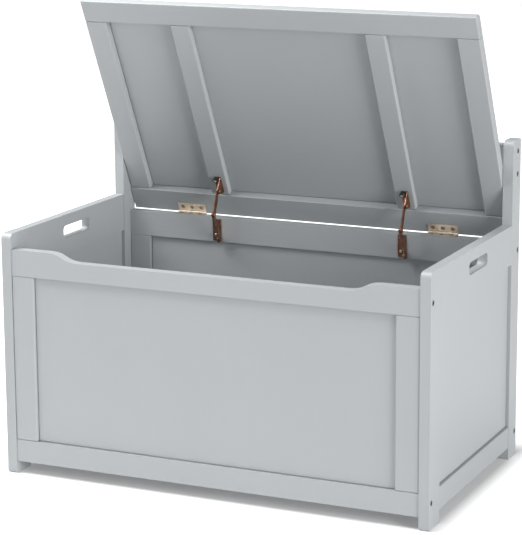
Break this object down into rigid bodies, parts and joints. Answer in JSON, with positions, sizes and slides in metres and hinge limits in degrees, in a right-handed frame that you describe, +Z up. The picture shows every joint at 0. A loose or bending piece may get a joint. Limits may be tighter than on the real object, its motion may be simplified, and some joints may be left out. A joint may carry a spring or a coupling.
{
  "type": "wooden toy box",
  "caption": "Rectangular framed-panel toy chest with taller rear posts, a backrest board, hand slots, a finger dip and a full-width lid on butt hinges with folding stays.",
  "frame": {"origin": "bottom centre of the bounding box with the lid open, on the floor under the feet", "axes": "+X to the viewer's right across the front, +Y towards the back, +Z up"},
  "size_m": [0.87, 0.5202, 0.8948],
  "materials": {
    "paint": "satin grey paint",
    "hinge_brass": "satin",
    "stay_bronze": "satin bronze plate",
    "black_plastic": "satin",
    "steel": "zinc plated"
  },
  "bodies": {
    "box": {"left_front_stile": "paint", "left_rear_post": "paint", "left_top_rail": "paint", "left_bottom_rail": "paint", "left_panel": "paint", "right_front_stile": "paint", "right_rear_post": "paint", "right_top_rail": "paint", "right_bottom_rail": "paint", "right_panel": "paint", "front_top_rail": "paint", "front_bottom_rail": "paint", "front_left_stile": "paint", "front_right_stile": "paint", "front_panel": "paint", "back_top_rail": "paint", "back_bottom_rail": "paint", "back_left_stile": "paint", "back_right_stile": "paint", "back_panel": "paint", "backrest_board": "paint", "floor_panel": "paint", "floor_cleat_front": "paint", "floor_cleat_back": "paint", "hinge_left_box_leaf": "hinge_brass", "hinge_left_pin": "steel", "stay_left_box_bracket": "stay_bronze", "bolt_left_front_high": "steel", "bolt_left_front_low": "steel", "bolt_left_back_high": "steel", "bolt_left_back_low": "steel", "bolt_left_backrest_low": "steel", "bolt_left_backrest_high": "steel", "hinge_right_box_leaf": "hinge_brass", "hinge_right_pin": "steel", "stay_right_box_bracket": "stay_bronze", "bolt_right_front_high": "steel", "bolt_right_front_low": "steel", "bolt_right_back_high": "steel", "bolt_right_back_low": "steel", "bolt_right_backrest_low": "steel", "bolt_right_backrest_high": "steel"},
    "lid": {"lid_front_rail": "paint", "lid_rear_rail": "paint", "lid_left_stile": "paint", "lid_right_stile": "paint", "lid_left_batten": "paint", "lid_right_batten": "paint", "lid_panel": "paint", "hinge_left_lid_leaf": "hinge_brass", "stay_left_lid_bracket": "stay_bronze", "stay_left_knob": "black_plastic", "hinge_right_lid_leaf": "hinge_brass", "stay_right_lid_bracket": "stay_bronze", "stay_right_knob": "black_plastic"},
    "stay_left_lower_arm": {"stay_left_lower_arm": "stay_bronze"},
    "stay_left_upper_arm": {"stay_left_upper_arm": "stay_bronze"},
    "stay_right_lower_arm": {"stay_right_lower_arm": "stay_bronze"},
    "stay_right_upper_arm": {"stay_right_upper_arm": "stay_bronze"}
  },
  "joints": [
    {"name": "lid_hinge", "type": "hinge", "parent": "box", "child": "lid", "pos_m": [0, 0.23536, 0.4373], "axis": [1, 0, 0], "range_deg": [0, 64]},
    {"name": "stay_left_lower", "type": "hinge", "parent": "box", "child": "stay_left_lower_arm", "pos_m": [-0.2015, 0.20736, 0.39], "axis": [1, 0, 0], "range_deg": [0, 72]},
    {"name": "stay_left_upper", "type": "hinge", "parent": "lid", "child": "stay_left_upper_arm", "pos_m": [-0.199, 0.19209, 0.49408], "axis": [1, 0, 0], "range_deg": [-75, 0]},
    {"name": "stay_right_lower", "type": "hinge", "parent": "box", "child": "stay_right_lower_arm", "pos_m": [0.2085, 0.20736, 0.39], "axis": [1, 0, 0], "range_deg": [0, 72]},
    {"name": "stay_right_upper", "type": "hinge", "parent": "lid", "child": "stay_right_upper_arm", "pos_m": [0.211, 0.19209, 0.49408], "axis": [1, 0, 0], "range_deg": [-75, 0]}
  ],
  "couplings": [
    {"joint": "stay_left_lower", "follows": "lid_hinge", "ratio": 1.0919},
    {"joint": "stay_left_upper", "follows": "lid_hinge", "ratio": -1.1373},
    {"joint": "stay_right_lower", "follows": "lid_hinge", "ratio": 1.0919},
    {"joint": "stay_right_upper", "follows": "lid_hinge", "ratio": -1.1373}
  ]
}
